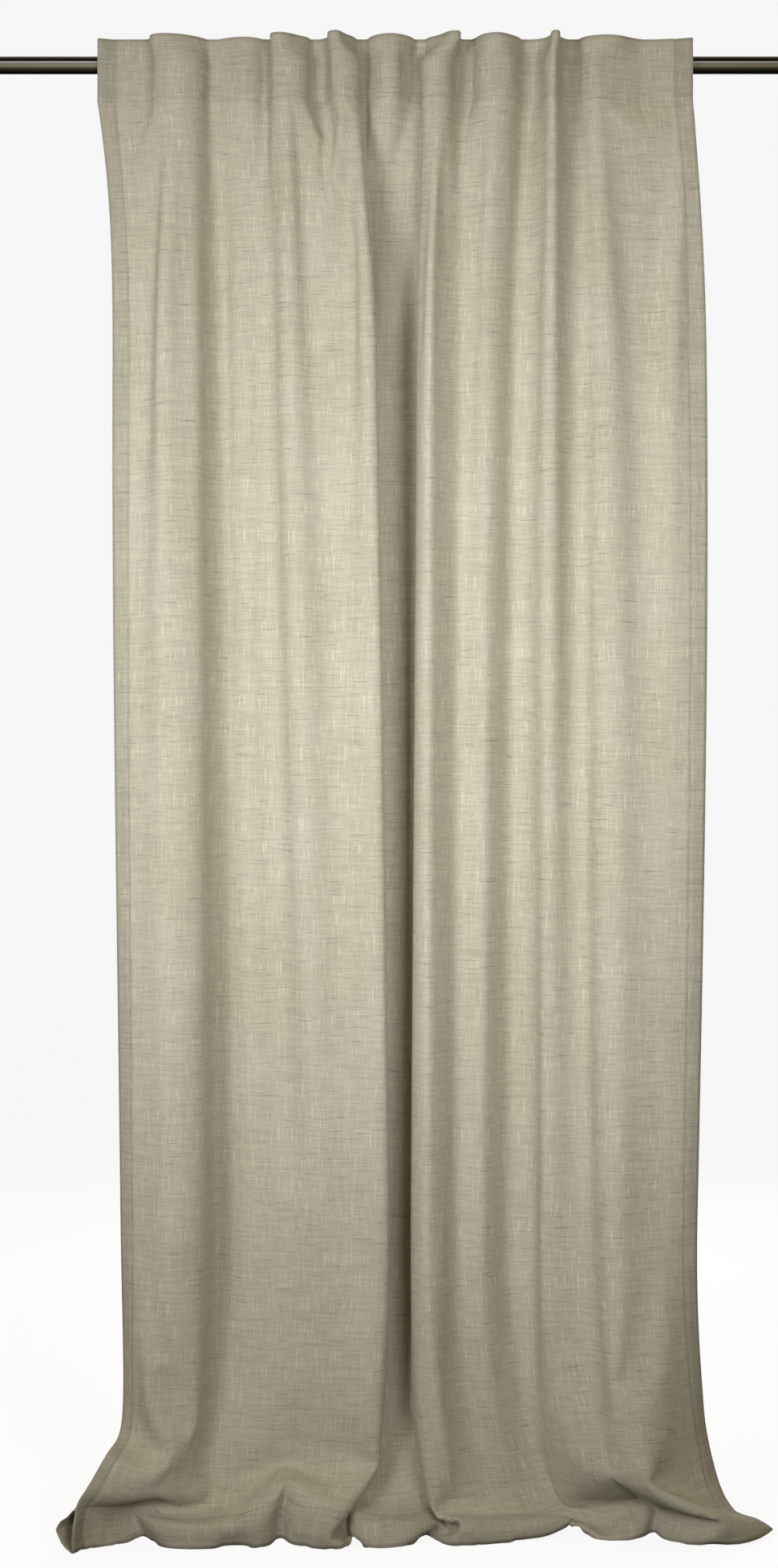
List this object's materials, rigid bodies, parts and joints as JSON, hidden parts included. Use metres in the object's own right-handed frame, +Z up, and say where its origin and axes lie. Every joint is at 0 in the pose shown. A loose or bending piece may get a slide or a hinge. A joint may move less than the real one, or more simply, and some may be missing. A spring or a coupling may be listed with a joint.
{
  "type": "curtain panel",
  "caption": "Unlined linen-look room curtain panel, gathered on a pole by loops hidden behind its stitched heading, with turned sides and a deep hem that reaches the floor.",
  "frame": {"origin": "centre of the pole that the loops run on, halfway along the heading", "axes": "+X along the pole, to the right of someone facing the curtain from the room; +Y away from that person, towards the window; +Z up"},
  "size_m": [1.1518, 0.1772, 2.392],
  "materials": {
    "linen_cloth": "plain-woven slubby linen look in a warm greige, matt",
    "linen_turnings": "the same cloth in two or three layers, so a shade deeper, matt",
    "loop_strip": "folded strips of the same cloth, matt",
    "sewing_thread": "twisted polyester thread, slight sheen",
    "label_satin": "blank white satin ribbon"
  },
  "bodies": {
    "panel": {"face_cloth": "linen_cloth", "left_side_hem": "linen_turnings", "right_side_hem": "linen_turnings", "heading_turning": "linen_turnings", "bottom_hem": "linen_turnings", "heading_stitching": "sewing_thread", "bottom_hem_stitching": "sewing_thread", "left_hem_stitching": "sewing_thread", "right_hem_stitching": "sewing_thread", "care_label": "label_satin", "loop_01": "loop_strip", "loop_01_upper_tack": "sewing_thread", "loop_01_lower_tack": "sewing_thread"},
    "loop_02_runner": {"loop_02": "loop_strip", "loop_02_upper_tack": "sewing_thread", "loop_02_lower_tack": "sewing_thread"},
    "loop_03_runner": {"loop_03": "loop_strip", "loop_03_upper_tack": "sewing_thread", "loop_03_lower_tack": "sewing_thread"},
    "loop_04_runner": {"loop_04": "loop_strip", "loop_04_upper_tack": "sewing_thread", "loop_04_lower_tack": "sewing_thread"},
    "loop_05_runner": {"loop_05": "loop_strip", "loop_05_upper_tack": "sewing_thread", "loop_05_lower_tack": "sewing_thread"},
    "loop_06_runner": {"loop_06": "loop_strip", "loop_06_upper_tack": "sewing_thread", "loop_06_lower_tack": "sewing_thread"},
    "loop_07_runner": {"loop_07": "loop_strip", "loop_07_upper_tack": "sewing_thread", "loop_07_lower_tack": "sewing_thread"},
    "loop_08_runner": {"loop_08": "loop_strip", "loop_08_upper_tack": "sewing_thread", "loop_08_lower_tack": "sewing_thread"},
    "loop_09_runner": {"loop_09": "loop_strip", "loop_09_upper_tack": "sewing_thread", "loop_09_lower_tack": "sewing_thread"},
    "loop_10_runner": {"loop_10": "loop_strip", "loop_10_upper_tack": "sewing_thread", "loop_10_lower_tack": "sewing_thread"}
  },
  "joints": [
    {"name": "draw", "type": "slide", "parent": "panel", "child": "loop_10_runner", "axis": [1, 0, 0], "range_m": [-0.532, 0], "deforming": ["face_cloth", "left_side_hem", "right_side_hem", "heading_turning", "bottom_hem", "heading_stitching", "bottom_hem_stitching", "left_hem_stitching", "right_hem_stitching", "care_label"]},
    {"name": "loop_02_slide", "type": "slide", "parent": "panel", "child": "loop_02_runner", "axis": [1, 0, 0], "range_m": [-0.0856, 0]},
    {"name": "loop_03_slide", "type": "slide", "parent": "panel", "child": "loop_03_runner", "axis": [1, 0, 0], "range_m": [-0.1434, 0]},
    {"name": "loop_04_slide", "type": "slide", "parent": "panel", "child": "loop_04_runner", "axis": [1, 0, 0], "range_m": [-0.1905, 0]},
    {"name": "loop_05_slide", "type": "slide", "parent": "panel", "child": "loop_05_runner", "axis": [1, 0, 0], "range_m": [-0.2391, 0]},
    {"name": "loop_06_slide", "type": "slide", "parent": "panel", "child": "loop_06_runner", "axis": [1, 0, 0], "range_m": [-0.2984, 0]},
    {"name": "loop_07_slide", "type": "slide", "parent": "panel", "child": "loop_07_runner", "axis": [1, 0, 0], "range_m": [-0.3471, 0]},
    {"name": "loop_08_slide", "type": "slide", "parent": "panel", "child": "loop_08_runner", "axis": [1, 0, 0], "range_m": [-0.4079, 0]},
    {"name": "loop_09_slide", "type": "slide", "parent": "panel", "child": "loop_09_runner", "axis": [1, 0, 0], "range_m": [-0.455, 0]}
  ],
  "couplings": [
    {"joint": "loop_02_slide", "follows": "draw", "ratio": 0.16},
    {"joint": "loop_03_slide", "follows": "draw", "ratio": 0.26857},
    {"joint": "loop_04_slide", "follows": "draw", "ratio": 0.35714},
    {"joint": "loop_05_slide", "follows": "draw", "ratio": 0.44857},
    {"joint": "loop_06_slide", "follows": "draw", "ratio": 0.56},
    {"joint": "loop_07_slide", "follows": "draw", "ratio": 0.65143},
    {"joint": "loop_08_slide", "follows": "draw", "ratio": 0.76571},
    {"joint": "loop_09_slide", "follows": "draw", "ratio": 0.85429}
  ]
}
